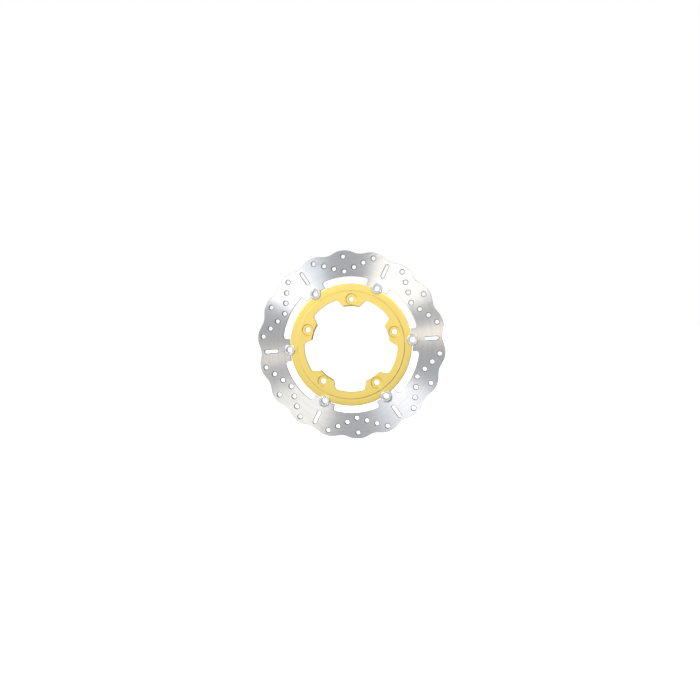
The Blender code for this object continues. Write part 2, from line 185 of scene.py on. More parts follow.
class CarrierSettings(bpy.types.PropertyGroup):
    """Sizes of the aluminium carrier."""

    radius: length("Radius", "From the axle to the rim", reach_of("carrier"))
    pilot_radius: length("Pilot Radius", "From the axle to the tips of the tabs",
                         reach_of("carrier", farthest=False))
    step_radius: length("Step Radius", "Where the raised middle ends", 88.2 * MM)
    step_slope: length("Step Slope", "Width of the sloping side of the step", 1.0 * MM)
    inner_radius: length("Inner Radius", "From the axle to the edge between the tabs", 77.0 * MM)
    rim_round: length("Rim Round", "Radius of the rim's turned edge", 1.1 * MM)
    edge_break: length("Edge Break", "Width of the small chamfer on the edges", 0.3 * MM)
    pilot_chamfer: length("Pilot Chamfer", "Chamfer on the tips of the tabs", 1.5 * MM)
    tabs: count("Tabs", "Tabs with a bolt hole", 5)
    first_tab: angle("First Tab", "Where the first tab stands", 89.0)
    tab_half_width: length("Tab Half Width", "Half the width of a tab's tip", 11.8 * MM)
    flank_spread: length("Flank Spread", "How much wider a tab's side gets", 12.0 * MM)
    bolt_circle: length("Bolt Circle Radius", "From the axle to the bolt holes", 75.0 * MM)
    bolt_hole: length("Bolt Hole Radius", "Radius of the bolt holes", 4.25 * MM)
    bolt_seat: length("Bolt Seat Radius", "Radius of the counterbores", 8.6 * MM)
    seat_depth: length("Bolt Seat Depth", "Depth of the counterbores", 1.2 * MM)
    seat_break: length("Bolt Seat Chamfer", "Chamfer round the counterbores", 0.9 * MM)
    hole_break: length("Bolt Hole Chamfer", "Chamfer round the bolt holes", 0.5 * MM)


class BobbinSettings(bpy.types.PropertyGroup):
    """Sizes of the hollow bobbins and of what holds them."""

    shank: length("Shank Radius", "Radius of the shank", 6.5 * MM)
    flange: length("Flange Radius", "Radius of the flange", half_width_of("bobbin_1"))
    flange_thickness: length("Flange Thickness", "Thickness of the flange", 1.6 * MM)
    bore: length("Bore Radius", "Radius of the bore", 4.7 * MM)
    countersink: length("Countersink", "Width of the bore's front chamfer", 0.6 * MM)
    edge_round: length("Edge Round", "Radius of the flange's and the shank's edges", 0.6 * MM)
    flange_dip: length("Flange Dip", "How far the middle of the flange's front dips", 0.15 * MM)
    rim_land: length("Rim Land", "Width of the flange's land at the rim", 1.1 * MM)
    bore_land: length("Bore Land", "Width of the flange's land at the bore", 0.9 * MM)
    groove_depth: length("Groove Depth", "Depth of the retaining ring's groove", 0.8 * MM)
    groove_play: length("Groove Play", "Space on each side of the retaining ring", 0.3 * MM)
    notch_play: length("Notch Play", "Space round the shank in the notches", 0.4 * MM)
    washer_play: length("Washer Play", "Space between the shank and the washers", 0.4 * MM)
    wave_strip: length("Wave Washer Strip", "Thickness of the wave washer's strip", 0.4 * MM)
    waves: count("Washer Waves", "Waves round a wave washer", 3)
    snap_width: length("Retaining Ring Width", "Width of the retaining ring", 2.0 * MM)
    snap_chamfer: length("Retaining Ring Chamfer", "Chamfer of the retaining ring", 0.1 * MM)
    snap_opening: angle("Retaining Ring Opening", "Angle that is left open", 50.0)


class FinishSettings(bpy.types.PropertyGroup):
    """Colours and gloss of the finishes."""

    steel: colour("Ground Steel", "The ring's ground faces", (0.715, 0.715, 0.73))
    cut_steel: colour("Cut Steel", "The ring's edges and holes", (0.58, 0.58, 0.60))
    gold: colour("Gold Anodising", "The carrier", (0.93, 0.715, 0.21))
    plated: colour("Plated Steel", "The bobbins", (0.68, 0.68, 0.70))
    spring: colour("Spring Steel", "The wave washers", tuple(FINISHES["wave_washer"]))
    zinc: colour("Zinc Plate", "The flat washers", tuple(FINISHES["flat_washer"]))
    black: colour("Black Phosphate", "The retaining rings", tuple(FINISHES["retaining_ring"]))
    grind_gloss: share("Grinding Roughness", "Roughness across the grinding marks", 0.40)


class StudioSettings(bpy.types.PropertyGroup):
    """The camera, the floor and the light."""

    azimuth: angle("Camera Azimuth", "How far the camera stands to the right", 6.0)
    elevation: angle("Camera Elevation", "How far the camera looks down", 3.0)
    distance: length("Camera Distance", "From the camera to the disc", 1.3)
    view_width: length("View Width", "What the picture takes in, side to side", 1.1512)
    aim_right: FloatProperty(name="Aim Right", default=-1.4 * MM, unit="LENGTH", precision=5,
                             description="How far right of the axle the camera aims")
    aim_up: FloatProperty(name="Aim Up", default=-8.4 * MM, unit="LENGTH", precision=5,
                          description="How far above the axle the camera aims")
    lamp_distance: length("Lamp Distance", "From the lamps to the disc", 2.2)
    floor_size: length("Floor Size", "Length of the floor's sides", 16.0)


class DiscSettings(bpy.types.PropertyGroup):
    """Everything that can be changed on the disc and in its studio."""

    ring: PointerProperty(type=BrakeRingSettings)
    carrier: PointerProperty(type=CarrierSettings)
    bobbin: PointerProperty(type=BobbinSettings)
    finish: PointerProperty(type=FinishSettings)
    studio: PointerProperty(type=StudioSettings)


# ---------------------------------------------------------------- outlines, in the disc's plane

def arc(radius, start, end, steps, centre=(0.0, 0.0)):
    """Points along an arc from one angle to another, both ends included."""
    points = []
    for step in range(steps + 1):
        turn = start + (end - start) * step / steps
        points.append((centre[0] + radius * math.cos(turn), centre[1] + radius * math.sin(turn)))
    return points


def turned(points, turn):
    """The points, turned round the axle."""
    cos, sin = math.cos(turn), math.sin(turn)
    return [(x * cos - y * sin, x * sin + y * cos) for x, y in points]


def mirrored(points):
    """The points on the other side of the X axis, in the order that carries an outline on."""
    return [(x, -y) for x, y in reversed(points)]


def circle(radius, steps):
    return arc(radius, 0.0, math.tau * (steps - 1) / steps, steps - 1)


def stadium(inner, outer, radius, steps):
    """A slot's outline between two end centres on the X axis."""
    far_end = arc(radius, -math.pi / 2, math.pi / 2, steps, (outer, 0.0))
    return far_end + arc(radius, math.pi / 2, math.pi * 1.5, steps, (inner, 0.0))


def rounded(corners, steps=3):
    """A closed outline from (x, y, radius) corners, each rounded to its own radius."""
    points = []
    for index, (x, y, radius) in enumerate(corners):
        if radius == 0.0:
            points.append((x, y))
            continue
        corner = Vector((x, y))
        back = (Vector(corners[index - 1][:2]) - corner).normalized()
        ahead = (Vector(corners[(index + 1) % len(corners)][:2]) - corner).normalized()
        half = back.angle(ahead) / 2
        centre = corner + (back + ahead).normalized() * (radius / math.sin(half))
        first = corner + back * (radius / math.tan(half)) - centre
        last = corner + ahead * (radius / math.tan(half)) - centre
        for step in range(steps + 1):
            spoke = first.lerp(last, step / steps).normalized() * radius
            points.append(tuple(centre + spoke))
    return points


def notch_angles(rim_radius, notch_radius):
    """Where the notch round a bobbin on the X axis meets a rim, from the axle and the bobbin."""
    reach = BOBBIN_CIRCLE
    cosine = (rim_radius ** 2 + reach ** 2 - notch_radius ** 2) / (2 * rim_radius * reach)
    from_axle = math.acos(cosine)
    return from_axle, math.atan2(rim_radius * math.sin(from_axle), rim_radius * cosine - reach)


def lug_outline(ring, notch_radius, track_inner):
    """The upper half of a lug on the X axis, from the bobbin's notch to the window."""
    tip = BOBBIN_CIRCLE
    rim_angle, notch_end = notch_angles(tip, notch_radius)
    half = arc(notch_radius, 0.0, notch_end, 14, (tip, 0.0))
    y = ring.lug_half_width - ring.lug_corner
    x = math.sqrt((tip + ring.lug_corner) ** 2 - y ** 2)
    corner_angle = math.atan2(y, x)
    half += arc(tip, rim_angle, corner_angle, 6)[1:-1]
    half += arc(ring.lug_corner, corner_angle + math.pi, math.pi / 2, 8, (x, y))
    y = ring.lug_half_width + ring.lug_fillet
    x = math.sqrt((track_inner - ring.lug_fillet) ** 2 - y ** 2)
    root_angle = math.atan2(y, x)
    half += arc(ring.lug_fillet, -math.pi / 2, root_angle, 12, (x, y))
    return half, root_angle


def ring_inner_outline(ring, notch_radius):
    """The ring's inner edge: six lugs, with a window between each two."""
    track_inner = ring.radius - ring.track_width
    half, root_angle = lug_outline(ring, notch_radius, track_inner)
    sector = math.tau / len(BOBBINS)
    window = arc(track_inner, root_angle, sector - root_angle, 30)[1:-1]
    points = []
    for number in range(len(BOBBINS)):
        lug = mirrored(half)[:-1] + half + window
        points += turned(lug, FIRST_BOBBIN_ANGLE + sector * number)
    return points


def carrier_outer_outline(carrier, notch_radius):
    """The carrier's rim, with a notch for each bobbin."""
    rim_angle, notch_end = notch_angles(carrier.radius, notch_radius)
    notch = arc(notch_radius, math.tau - notch_end, notch_end, 22, (BOBBIN_CIRCLE, 0.0))
    sector = math.tau / len(BOBBINS)
    rim = arc(carrier.radius, rim_angle, sector - rim_angle, 44)[1:-1]
    points = []
    for number in range(len(BOBBINS)):
        points += turned(notch + rim, FIRST_BOBBIN_ANGLE + sector * number)
    return points


def carrier_inner_outline(carrier):
    """The carrier's inner edge: tabs whose sides swing out to the arcs between them."""
    pitch = math.tau / carrier.tabs
    tip_angle = carrier.tab_half_width / carrier.pilot_radius
    root_angle = tip_angle + carrier.flank_spread / carrier.inner_radius
    flank = []
    steps = 22
    for step in range(1, steps):
        along = step / steps
        swing = 0.5 - 0.5 * math.cos(math.pi * along)
        radius = carrier.pilot_radius + (carrier.inner_radius - carrier.pilot_radius) * swing
        turn = tip_angle + (root_angle - tip_angle) * along
        flank.append((radius * math.cos(turn), radius * math.sin(turn)))
    tip = arc(carrier.pilot_radius, -tip_angle, tip_angle, 14)
    between = arc(carrier.inner_radius, root_angle, pitch - root_angle, 22)
    points = []
    for number in range(carrier.tabs):
        tab = tip + flank + between + turned(mirrored(flank), pitch)
        points += turned(tab, carrier.first_tab + pitch * number)
    return points


# ---------------------------------------------------------------- meshes

def point_outward(mesh):
    """Turns every face of a closed mesh outwards, after its doubles are merged."""
    shape = bmesh.new()
    shape.from_mesh(mesh)
    bmesh.ops.remove_doubles(shape, verts=shape.verts, dist=WELD / 4)
    bmesh.ops.recalc_face_normals(shape, faces=shape.faces)
    shape.to_mesh(mesh)
    shape.free()
    return mesh


def loft(name, loops, closed=False):
    """Skins a row of loops with as many points each, and caps its ends or closes it on itself."""
    size = len(loops[0])
    points = [point for loop in loops for point in loop]
    faces = []
    for row in range(len(loops) if closed else len(loops) - 1):
        near = row * size
        far = (row + 1) % len(loops) * size
        for index in range(size):
            after = (index + 1) % size
            faces.append((near + index, near + after, far + after, far + index))
    if not closed:
        faces.append(tuple(range(size)))
        faces.append(tuple(range(len(points) - size, len(points))))
    mesh = bpy.data.meshes.new(name)
    mesh.from_pydata(points, [], faces)
    return point_outward(mesh)


def lathe(name, profile, steps, closed=True):
    """A profile of (radius, height) points, turned round the Z axis."""
    loops = [[(x, y, height) for x, y in circle(radius, steps)] for radius, height in profile]
    return loft(name, loops, closed)


def outline_mesh(name, outside=(), openings=()):
    """Closed outlines as bare edges, with the way out of the material kept at each point."""
    points, edges, ways_out = [], [], []
    sides = [(outline, 1.0) for outline in outside] + [(outline, -1.0) for outline in openings]
    for outline, side in sides:
        start = len(points)
        size = len(outline)
        for index, (x, y) in enumerate(outline):
            here = Vector((x, y))
            before = (here - Vector(outline[index - 1])).normalized()
            after = (Vector(outline[(index + 1) % size]) - here).normalized()
            along = (before + after).normalized()
            spread = max(0.5, along.dot(after))
            ways_out += [along.y / spread * side, -along.x / spread * side, 0.0]
            points.append((x, y, 0.0))
            edges.append((start + index, start + (index + 1) % size))
    mesh = bpy.data.meshes.new(name)
    mesh.from_pydata(points, edges, [])
    attribute = mesh.attributes.new("way_out", "FLOAT_VECTOR", "POINT")
    attribute.data.foreach_set("vector", ways_out)
    return mesh


def keep_lathe_position(mesh):
    """Keeps each point's place round the piece's own axis, for the marks of the lathe."""
    attribute = mesh.attributes.new("lathe_position", "FLOAT_VECTOR", "POINT")
    places = [value for vertex in mesh.vertices for value in vertex.co]
    attribute.data.foreach_set("vector", places)
    return mesh


def helper(mesh):
    """A bare object for a mesh that a node tree takes, which isn't part of the disc."""
    return bpy.data.objects.new(mesh.name, mesh)


def grown(name, source, tree, **values):
    """The plain mesh that a node tree makes from a source mesh and the values of its inputs."""
    obj = bpy.data.objects.new(name, source)
    bpy.context.scene.collection.objects.link(obj)
    modifier = obj.modifiers.new(tree.name, "NODES")
    modifier.node_group = tree
    sockets = {item.name: item.identifier for item in tree.interface.items_tree}
    for label, value in values.items():
        modifier[sockets[label.replace("_", " ").title()]] = value
    bpy.context.view_layer.update()
    evaluated = obj.evaluated_get(bpy.context.evaluated_depsgraph_get())
    mesh = bpy.data.meshes.new_from_object(evaluated)
    mesh.name = name
    obj.modifiers.remove(modifier)
    bpy.data.objects.remove(obj, do_unlink=True)
    if not mesh.polygons:
        raise RuntimeError(f"{name}: the node tree {tree.name} made no faces")
    return mesh


def piece(name, mesh, body, nodes):
    """Puts a finished mesh in the scene as a piece that rides on a body in place of CAD nodes."""
    point_outward(mesh)
    mesh.shade_smooth()
    mesh.set_sharp_from_angle(angle=SHARP_ANGLE)
    obj = bpy.data.objects.new(name, mesh)
    bpy.context.scene.collection.objects.link(obj)
    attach(obj, body)
    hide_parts(*nodes)
    return obj


# ---------------------------------------------------------------- wiring of node trees

class Wiring:
    """A node tree while it is being wired."""

    def __init__(self, tree):
        self.tree = tree

    @classmethod
    def group(cls, name, kind):
        wiring = cls(bpy.data.node_groups.new(name, kind))
        wiring.start = wiring.tree.nodes.new("NodeGroupInput")
        wiring.end = wiring.tree.nodes.new("NodeGroupOutput")
        return wiring

    def takes(self, name, kind, default=None):
        """A named input of the group."""
        item = self.tree.interface.new_socket(name, in_out="INPUT", socket_type=kind)
        if default is not None:
            item.default_value = default
        return self.start.outputs[name]

    def gives(self, name, kind, source):
        """A named output of the group."""
        self.tree.interface.new_socket(name, in_out="OUTPUT", socket_type=kind)
        self.tree.links.new(source, self.end.inputs[name])

    def add(self, kind, inputs=None, **settings):
        """A node, with its inputs linked from sockets or set to plain values."""
        node = self.tree.nodes.new(kind)
        for name, value in settings.items():
            setattr(node, name, value)
        for key, value in (inputs or {}).items():
            if isinstance(value, (bpy.types.NodeSocket, list)):
                for source in value if isinstance(value, list) else [value]:
                    self.tree.links.new(source, node.inputs[key])
            else:
                node.inputs[key].default_value = value
        return node

    def calc(self, operation, *values):
        """A sum on numbers."""
        node = self.add("ShaderNodeMath", dict(enumerate(values)), operation=operation)
        return node.outputs[0]

    def reckon(self, operation, *values, output=0):
        """A sum on vectors."""
        node = self.add("ShaderNodeVectorMath", dict(enumerate(values)), operation=operation)
        return node.outputs[output]

    def scaled(self, vector, factor):
        node = self.add("ShaderNodeVectorMath", {"Vector": vector, "Scale": factor},
                        operation="SCALE")
        return node.outputs[0]

    def vector(self, x, y, z):
        return self.add("ShaderNodeCombineXYZ", {"X": x, "Y": y, "Z": z}).outputs[0]

    def parts(self, vector):
        return self.add("ShaderNodeSeparateXYZ", {0: vector}).outputs

    def ranged(self, value, low, high, to_low, to_high):
        """A value's range, stretched to another and clamped."""
        inputs = {"Value": value, "From Min": low, "From Max": high}
        inputs.update({"To Min": to_low, "To Max": to_high})
        return self.add("ShaderNodeMapRange", inputs).outputs[0]

    def nested(self, group, kind, **inputs):
        """Another group placed in this tree."""
        node = self.tree.nodes.new(kind)
        node.node_tree = group
        for label, value in inputs.items():
            socket = node.inputs[label.replace("_", " ").title()]
            if isinstance(value, bpy.types.NodeSocket):
                self.tree.links.new(value, socket)
            else:
                socket.default_value = value
        return node.outputs


def shared(name, build):
    """A node group that is built the first time it is asked for."""
    return bpy.data.node_groups.get(name) or build(name)


# ---------------------------------------------------------------- geometry trees

def chamfered_plate_tree(name):
    """Bare outlines in, a closed flat plate with chamfered edges out."""
    w = Wiring.group(name, "GeometryNodeTree")
    outline = w.takes("Outline", "NodeSocketGeometry")
    front = w.takes("Front", "NodeSocketFloat", 0.002)
    thickness = w.takes("Thickness", "NodeSocketFloat", 0.004)
    chamfer = w.takes("Chamfer", "NodeSocketFloat", 0.0003)
    way_out = w.add("GeometryNodeInputNamedAttribute", {"Name": "way_out"},
                    data_type="FLOAT_VECTOR").outputs["Attribute"]
    outward = w.scaled(way_out, chamfer)
    inward = w.scaled(outward, -1.0)
    drop = w.vector(0.0, 0.0, w.calc("MULTIPLY", chamfer, -1.0))
    inset = w.add("GeometryNodeSetPosition", {"Geometry": outline, "Offset": inward})
    flat_curve = w.add("GeometryNodeMeshToCurve", {"Mesh": inset.outputs[0]})
    face = w.add("GeometryNodeFillCurve", {"Curve": flat_curve.outputs[0]}, mode="TRIANGLES")
    lift = w.vector(0.0, 0.0, front)
    sink = w.vector(0.0, 0.0, w.calc("SUBTRACT", front, thickness))
    front_face = w.add("GeometryNodeTransform", {"Geometry": face.outputs[0],
                                                 "Translation": lift})
    flipped = w.add("GeometryNodeFlipFaces", {"Mesh": face.outputs[0]})
    back_face = w.add("GeometryNodeTransform", {"Geometry": flipped.outputs[0],
                                                "Translation": sink})
    top_edge = w.add("GeometryNodeTransform", {"Geometry": inset.outputs[0],
                                               "Translation": lift})
    straight = w.calc("SUBTRACT", w.calc("MULTIPLY", chamfer, 2.0), thickness)
    steps = [
        w.reckon("ADD", outward, drop),
        w.vector(0.0, 0.0, straight),
        w.reckon("ADD", inward, drop),
    ]
    wall, last_edge = top_edge.outputs[0], True
    for step in steps:
        inputs = {"Mesh": wall, "Selection": last_edge, "Offset": step}
        extrude = w.add("GeometryNodeExtrudeMesh", inputs, mode="EDGES")
        wall, last_edge = extrude.outputs["Mesh"], extrude.outputs["Top"]
    plate = w.add("GeometryNodeJoinGeometry",
                  {0: [wall, front_face.outputs[0], back_face.outputs[0]]})
    welded = w.add("GeometryNodeMergeByDistance", {"Geometry": plate.outputs[0],
                                                   "Distance": WELD})
    w.gives("Plate", "NodeSocketGeometry", welded.outputs[0])
    return w.tree


def wavy_blank_tree(name):
    """The ring's blank: a circle drawn in to a wave, round the inner outline that comes in."""
    w = Wiring.group(name, "GeometryNodeTree")
    inner = w.takes("Inner Outline", "NodeSocketGeometry")
    radius = w.takes("Radius", "NodeSocketFloat", 0.155)
    waves = w.takes("Waves", "NodeSocketInt", 18)
    points_per_wave = w.takes("Points Per Wave", "NodeSocketInt", 26)
    depth = w.takes("Depth", "NodeSocketFloat", 0.005)
    sharpness = w.takes("Sharpness", "NodeSocketFloat", 1.3)
    crest = w.takes("First Crest", "NodeSocketFloat", 0.0)
    front = w.takes("Front", "NodeSocketFloat", 0.002)
    thickness = w.takes("Thickness", "NodeSocketFloat", 0.005)
    chamfer = w.takes("Chamfer", "NodeSocketFloat", 0.0003)
    steps = w.calc("MULTIPLY", waves, points_per_wave)
    edge = w.add("GeometryNodeCurvePrimitiveCircle", {"Resolution": steps, "Radius": radius})
    place = w.add("GeometryNodeInputPosition").outputs[0]
    x, y, _ = w.parts(place)
    turn = w.calc("SUBTRACT", w.calc("ARCTAN2", y, x), crest)
    cosine = w.calc("COSINE", w.calc("MULTIPLY", turn, waves))
    swing = w.calc("MULTIPLY_ADD", cosine, -0.5, 0.5)
    cut = w.calc("MULTIPLY", w.calc("POWER", swing, sharpness), depth)
    inward = w.scaled(w.reckon("NORMALIZE", place), w.calc("MULTIPLY", cut, -1.0))
    wavy = w.add("GeometryNodeSetPosition", {"Geometry": edge.outputs[0], "Offset": inward})
    tangent = w.add("GeometryNodeInputTangent").outputs[0]
    way_out = w.reckon("CROSS_PRODUCT", tangent, (0.0, 0.0, 1.0))
    stored = w.add("GeometryNodeStoreNamedAttribute",
                   {"Geometry": wavy.outputs[0], "Name": "way_out", "Value": way_out},
                   data_type="FLOAT_VECTOR", domain="POINT")
    bare = w.add("GeometryNodeCurveToMesh", {"Curve": stored.outputs[0]})
    both = w.add("GeometryNodeJoinGeometry", {0: [bare.outputs[0], inner]})
    plate = w.nested(shared("chamfered_plate", chamfered_plate_tree), "GeometryNodeGroup",
                     outline=both.outputs[0], front=front, thickness=thickness,
                     chamfer=chamfer)
    solid = w.add("GeometryNodeRealizeInstances", {"Geometry": plate["Plate"]})
    w.gives("Blank", "NodeSocketGeometry", solid.outputs[0])
    return w.tree


def plate_blank_tree(name):
    """A plain plate from the outlines that come in."""
    w = Wiring.group(name, "GeometryNodeTree")
    outline = w.takes("Outline", "NodeSocketGeometry")
    front = w.takes("Front", "NodeSocketFloat", 0.002)
    thickness = w.takes("Thickness", "NodeSocketFloat", 0.004)
    chamfer = w.takes("Chamfer", "NodeSocketFloat", 0.0003)
    plate = w.nested(shared("chamfered_plate", chamfered_plate_tree), "GeometryNodeGroup",
                     outline=outline, front=front, thickness=thickness, chamfer=chamfer)
    solid = w.add("GeometryNodeRealizeInstances", {"Geometry": plate["Plate"]})
    w.gives("Blank", "NodeSocketGeometry", solid.outputs[0])
    return w.tree


def tool_mesh(w, socket):
    """A helper object's mesh, in its own place."""
    return w.add("GeometryNodeObjectInfo", {"Object": socket}).outputs["Geometry"]


def on_circle(w, tool, count_socket, radius, turn, facing=0.0):
    """A tool's mesh at points on a circle, each turned by an angle in the disc's plane."""
    cosine, sine = w.calc("COSINE", turn), w.calc("SINE", turn)
    place = w.vector(w.calc("MULTIPLY", radius, cosine), w.calc("MULTIPLY", radius, sine), 0.0)
    points = w.add("GeometryNodePoints", {"Count": count_socket, "Position": place})
    rotation = w.add("FunctionNodeEulerToRotation", {"Euler": w.vector(0.0, 0.0, facing)})
    return w.add("GeometryNodeInstanceOnPoints",
                 {"Points": points.outputs[0], "Instance": tool,
                  "Rotation": rotation.outputs[0]}).outputs[0]


def stood_up(w, geometry, finishes):
    """The last nodes of a tree: upright, real, and with its finishes on."""
    upright = w.add("GeometryNodeTransform", {"Geometry": geometry, "Rotation": STAND_UP})
    real = w.add("GeometryNodeRealizeInstances", {"Geometry": upright.outputs[0]})
    last = real.outputs[0]
    for selection, material in finishes:
        last = w.add("GeometryNodeSetMaterial",
                     {"Geometry": last, "Selection": selection, "Material": material}).outputs[0]
    w.gives("Piece", "NodeSocketGeometry", last)


def drilled_ring_tree(name):
    """Drills the bowed hole pattern and the slots through the ring's blank."""
    w = Wiring.group(name, "GeometryNodeTree")
    blank = w.takes("Blank", "NodeSocketGeometry")
    drill = w.takes("Drill", "NodeSocketObject")
    slot_tool = w.takes("Slot Tool", "NodeSocketObject")
    sectors = w.takes("Sectors", "NodeSocketInt", 6)
    first = w.takes("First Angle", "NodeSocketFloat", 0.0)
    per_arm = w.takes("Holes Per Arm", "NodeSocketInt", 3)
    arm_angle = w.takes("Arm Angle", "NodeSocketFloat", 0.35)
    spread = w.takes("Arm Spread", "NodeSocketFloat", 0.89)
    rise = w.takes("Arm Rise", "NodeSocketFloat", 1.22)
    nearest = w.takes("Nearest Hole", "NodeSocketFloat", 0.12)
    farthest = w.takes("Farthest Hole", "NodeSocketFloat", 0.146)
    edge_hole = w.takes("Edge Hole", "NodeSocketFloat", 0.145)
    ground = w.takes("Ground Finish", "NodeSocketMaterial")
    cut = w.takes("Cut Finish", "NodeSocketMaterial")

    index = w.add("GeometryNodeInputIndex").outputs[0]
    pitch = w.calc("DIVIDE", math.tau, sectors)
    per_sector = w.calc("MULTIPLY_ADD", per_arm, 2.0, 1.0)
    sector = w.calc("FLOOR", w.calc("DIVIDE", index, per_sector))
    step = w.calc("SUBTRACT", w.calc("MODULO", index, per_sector), per_arm)
    along = w.calc("DIVIDE", w.calc("ABSOLUTE", step), per_arm)
    half_sector = w.calc("ADD", sector, 0.5)
    middle = w.calc("MULTIPLY_ADD", half_sector, pitch, first)
    swing = w.calc("MULTIPLY", w.calc("POWER", along, spread), arm_angle)
    turn = w.calc("MULTIPLY_ADD", w.calc("SIGN", step), swing, middle)
    climb = w.calc("SUBTRACT", farthest, nearest)
    radius = w.calc("MULTIPLY_ADD", w.calc("POWER", along, rise), climb, nearest)
    holes = on_circle(w, tool_mesh(w, drill), w.calc("MULTIPLY", sectors, per_sector), radius,
                      turn)
    mid_sector = w.calc("MULTIPLY_ADD", w.calc("ADD", index, 0.5), pitch, first)
    edge_holes = on_circle(w, tool_mesh(w, drill), sectors, edge_hole, mid_sector)
    slot_turn = w.calc("MULTIPLY_ADD", index, pitch, first)
    slots = on_circle(w, tool_mesh(w, slot_tool), sectors, 0.0, slot_turn, slot_turn)
    tools = w.add("GeometryNodeJoinGeometry", {0: [holes, edge_holes, slots]})
    solid_tools = w.add("GeometryNodeRealizeInstances", {"Geometry": tools.outputs[0]})
    drilled = w.add("GeometryNodeMeshBoolean",
                    {"Mesh 1": blank, "Mesh 2": solid_tools.outputs[0]},
                    operation="DIFFERENCE", solver="EXACT")
    normal = w.add("GeometryNodeInputNormal").outputs[0]
    squareness = w.calc("ABSOLUTE", w.parts(normal)[1])
    is_face = w.calc("GREATER_THAN", squareness, FLAT_ENOUGH)
    is_edge = w.calc("LESS_THAN", squareness, FLAT_ENOUGH)
    stood_up(w, drilled.outputs["Mesh"], [(is_face, ground), (is_edge, cut)])
    return w.tree


def machined_carrier_tree(name):
    """Turns down the rim, chamfers the pilot and sinks the bolt seats in the carrier's blank."""
    w = Wiring.group(name, "GeometryNodeTree")
    blank = w.takes("Blank", "NodeSocketGeometry")
    rim_tool = w.takes("Rim Tool", "NodeSocketObject")
    pilot_tool = w.takes("Pilot Tool", "NodeSocketObject")
    bolt_tool = w.takes("Bolt Tool", "NodeSocketObject")
    bolts = w.takes("Bolts", "NodeSocketInt", 5)
    circle_radius = w.takes("Bolt Circle", "NodeSocketFloat", 0.075)
    first = w.takes("First Angle", "NodeSocketFloat", 0.0)
    finish = w.takes("Finish", "NodeSocketMaterial")
    index = w.add("GeometryNodeInputIndex").outputs[0]
    turn = w.calc("MULTIPLY_ADD", index, w.calc("DIVIDE", math.tau, bolts), first)
    seats = on_circle(w, tool_mesh(w, bolt_tool), bolts, circle_radius, turn)
    solid_seats = w.add("GeometryNodeRealizeInstances", {"Geometry": seats}).outputs[0]
    worked = blank
    for tool in (tool_mesh(w, rim_tool), tool_mesh(w, pilot_tool), solid_seats):
        worked = w.add("GeometryNodeMeshBoolean", {"Mesh 1": worked, "Mesh 2": tool},
                       operation="DIFFERENCE", solver="EXACT").outputs["Mesh"]
    stood_up(w, worked, [(True, finish)])
    return w.tree


def set_on_circle_tree(name):
    """A set of like pieces round the disc, of which the one asked for is kept."""
    w = Wiring.group(name, "GeometryNodeTree")
    shape = w.takes("Shape", "NodeSocketGeometry")
    pieces = w.takes("Pieces", "NodeSocketInt", 6)
    circle_radius = w.takes("Circle Radius", "NodeSocketFloat", 0.1)
    first = w.takes("First Angle", "NodeSocketFloat", 0.0)
    number = w.takes("Number", "NodeSocketInt", 0)
    finish = w.takes("Finish", "NodeSocketMaterial")
    index = w.add("GeometryNodeInputIndex").outputs[0]
    turn = w.calc("MULTIPLY_ADD", index, w.calc("DIVIDE", math.tau, pieces), first)
    placed = on_circle(w, shape, pieces, circle_radius, turn)
    # the compare node's whole numbers are its third and fourth inputs
    others = w.add("FunctionNodeCompare", {2: index, 3: number}, data_type="INT",
                   operation="NOT_EQUAL")
    one = w.add("GeometryNodeDeleteGeometry",
                {"Geometry": placed, "Selection": others.outputs[0]}, domain="INSTANCE")
    stood_up(w, one.outputs[0], [(True, finish)])
    return w.tree


def wave_washer_tree(name):
    """Bends a flat washer into even waves."""
    w = Wiring.group(name, "GeometryNodeTree")
    washer = w.takes("Washer", "NodeSocketGeometry")
    waves = w.takes("Waves", "NodeSocketInt", 3)
    swing = w.takes("Swing", "NodeSocketFloat", 0.0003)
    middle = w.takes("Middle", "NodeSocketFloat", 0.0)
    x, y, _ = w.parts(w.add("GeometryNodeInputPosition").outputs[0])
    phase = w.calc("MULTIPLY", w.calc("ARCTAN2", y, x), waves)
    height = w.calc("MULTIPLY_ADD", w.calc("COSINE", phase), swing, middle)
    bent = w.add("GeometryNodeSetPosition",
                 {"Geometry": washer, "Offset": w.vector(0.0, 0.0, height)})
    real = w.add("GeometryNodeRealizeInstances", {"Geometry": bent.outputs[0]})
    w.gives("Wave Washer", "NodeSocketGeometry", real.outputs[0])
    return w.tree


# ---------------------------------------------------------------- finishes

def tool_marks_group(name):
    """Fine marks that run round an axis along Z: their height and their shade."""
    w = Wiring.group(name, "ShaderNodeTree")
    position = w.takes("Position", "NodeSocketVector")
    pitch = w.takes("Pitch", "NodeSocketFloat", 0.0002)
    drift = w.takes("Drift", "NodeSocketFloat", 4.0)
    x, y, _ = w.parts(position)
    in_plane = w.vector(x, y, 0.0)
    radius = w.reckon("LENGTH", in_plane, output="Value")
    way = w.reckon("NORMALIZE", in_plane)
    wx, wy, _ = w.parts(way)
    rings = w.calc("DIVIDE", radius, pitch)
    swept = w.vector(rings, w.calc("MULTIPLY", wx, drift), w.calc("MULTIPLY", wy, drift))
    fine = w.add("ShaderNodeTexNoise", {"Vector": swept, "Scale": 1.0, "Detail": 3.0,
                                        "Roughness": 0.65})
    broad_scale = w.reckon("MULTIPLY", swept, (0.09, 0.6, 0.6))
    broad = w.add("ShaderNodeTexNoise", {"Vector": broad_scale, "Scale": 1.0, "Detail": 2.0,
                                         "Roughness": 0.5})
    w.gives("Height", "NodeSocketFloat", fine.outputs[0])
    shade = w.calc("MULTIPLY_ADD", broad.outputs[0], 0.6,
                   w.calc("MULTIPLY", fine.outputs[0], 0.4))
    w.gives("Shade", "NodeSocketFloat", shade)
    return w.tree


